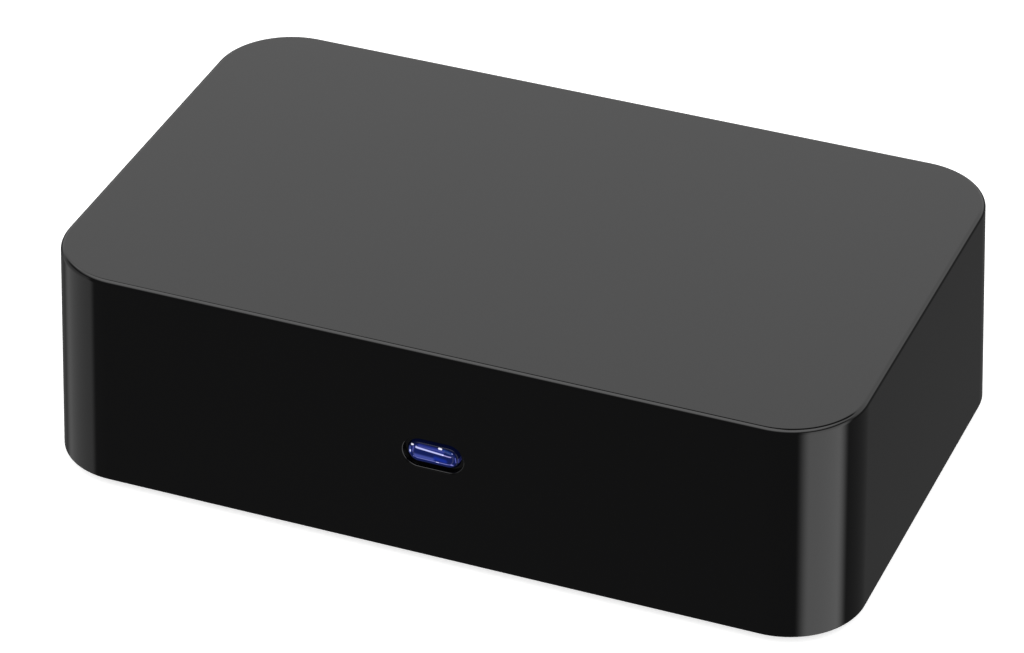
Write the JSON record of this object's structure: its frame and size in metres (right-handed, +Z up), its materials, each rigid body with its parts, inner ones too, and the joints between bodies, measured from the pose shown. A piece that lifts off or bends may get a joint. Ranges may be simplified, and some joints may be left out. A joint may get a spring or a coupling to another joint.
{
  "type": "streaming media player",
  "caption": "Small glossy box with rounded corners, a lit pill-shaped front button and a recessed rear bay of sockets.",
  "frame": {"origin": "centre of the footprint, on the surface that the feet rest on", "axes": "+Z up, front with the lit button towards -Y, sockets towards +Y, +X to the right seen from the front"},
  "size_m": [0.122, 0.0754, 0.0347],
  "materials": {
    "housing_gloss": "piano black, polished",
    "base_matte": "fine spark-eroded texture",
    "panel_matte": "fine spark-eroded texture",
    "foot_rubber": "matt silicone rubber",
    "screw_black": "black zinc plated",
    "screw_steel": "nickel plated",
    "board_mask": "green solder mask",
    "chip_epoxy": "moulded epoxy",
    "ferrite_grey": "pressed ferrite",
    "can_aluminium": "satin can",
    "shield_steel": "nickel plated sheet",
    "pad_silicone": "soft heat conducting pad",
    "sink_aluminium": "plain extruded",
    "nylon_white": "natural nylon",
    "insert_black": "glass filled nylon",
    "contact_gold": "gold flash",
    "lamp_green": "tinted light pipe",
    "lamp_amber": "tinted light pipe",
    "shutter_black": "smooth moulded",
    "emitter_red": "clear red epoxy",
    "infrared_epoxy": "dark infrared passing epoxy",
    "led_body": "white package, blue light",
    "lens_clear": "clear blue lit acrylic",
    "connector_ivory": "natural nylon",
    "ribbon_film": "flat film cable",
    "lead_jacket": "thin coaxial lead"
  },
  "bodies": {
    "case": {"upper_housing": "housing_gloss", "base_plate": "base_matte", "rear_panel": "panel_matte", "foot_front_left": "foot_rubber", "foot_front_right": "foot_rubber", "foot_rear_left": "foot_rubber", "foot_rear_right": "foot_rubber", "housing_screws": "screw_black", "board_screws": "screw_steel", "front_board_screws": "screw_steel", "main_board": "board_mask", "front_board": "board_mask", "wireless_module": "board_mask", "antenna_board": "board_mask", "processor": "chip_epoxy", "memory_chip_1": "chip_epoxy", "memory_chip_2": "chip_epoxy", "flash_chip": "chip_epoxy", "network_transformer": "chip_epoxy", "power_inductors": "ferrite_grey", "capacitors": "can_aluminium", "crystal": "shield_steel", "wireless_shield": "shield_steel", "network_port_shield": "shield_steel", "thermal_pad": "pad_silicone", "heat_sink": "sink_aluminium", "heat_sink_pins": "nylon_white", "video_port_shell": "shield_steel", "video_port_insert": "insert_black", "video_port_contacts": "contact_gold", "data_port_shell": "shield_steel", "data_port_tongue_lower": "insert_black", "data_port_tongue_upper": "insert_black", "data_port_contacts": "contact_gold", "network_port_insert": "insert_black", "network_port_contacts": "contact_gold", "network_lamp_left": "lamp_green", "network_lamp_right": "lamp_amber", "optical_port_body": "insert_black", "optical_emitter": "emitter_red", "av_jack_body": "insert_black", "av_jack_contacts": "contact_gold", "power_jack_body": "insert_black", "power_jack_pin": "shield_steel", "power_jack_spring": "contact_gold", "infrared_receiver": "infrared_epoxy", "indicator_led_1": "led_body", "indicator_led_2": "led_body", "switch_body": "insert_black", "board_connector": "connector_ivory", "front_board_connector": "connector_ivory", "ribbon_cable": "ribbon_film", "antenna_plug": "contact_gold", "antenna_lead": "lead_jacket", "reset_switch": "insert_black"},
    "standby_button": {"button_lens": "lens_clear", "switch_plunger": "nylon_white"},
    "reset_button": {"reset_plunger": "nylon_white"},
    "optical_door": {"optical_shutter": "shutter_black"}
  },
  "joints": [
    {"name": "standby_press", "type": "slide", "parent": "case", "child": "standby_button", "axis": [0, 1, 0], "range_m": [0, 0.0005], "stiffness_N_per_m": 2000, "springref_m": -0.0003},
    {"name": "reset_press", "type": "slide", "parent": "case", "child": "reset_button", "axis": [0, -1, 0], "range_m": [0, 0.0005], "stiffness_N_per_m": 1500, "springref_m": -0.0003},
    {"name": "shutter_hinge", "type": "hinge", "parent": "case", "child": "optical_door", "pos_m": [-0.031, 0.0339, 0.017], "axis": [-1, 0, 0], "range_deg": [0, 90], "stiffness_Nm_per_rad": 0.00002, "springref_deg": -17.19}
  ]
}
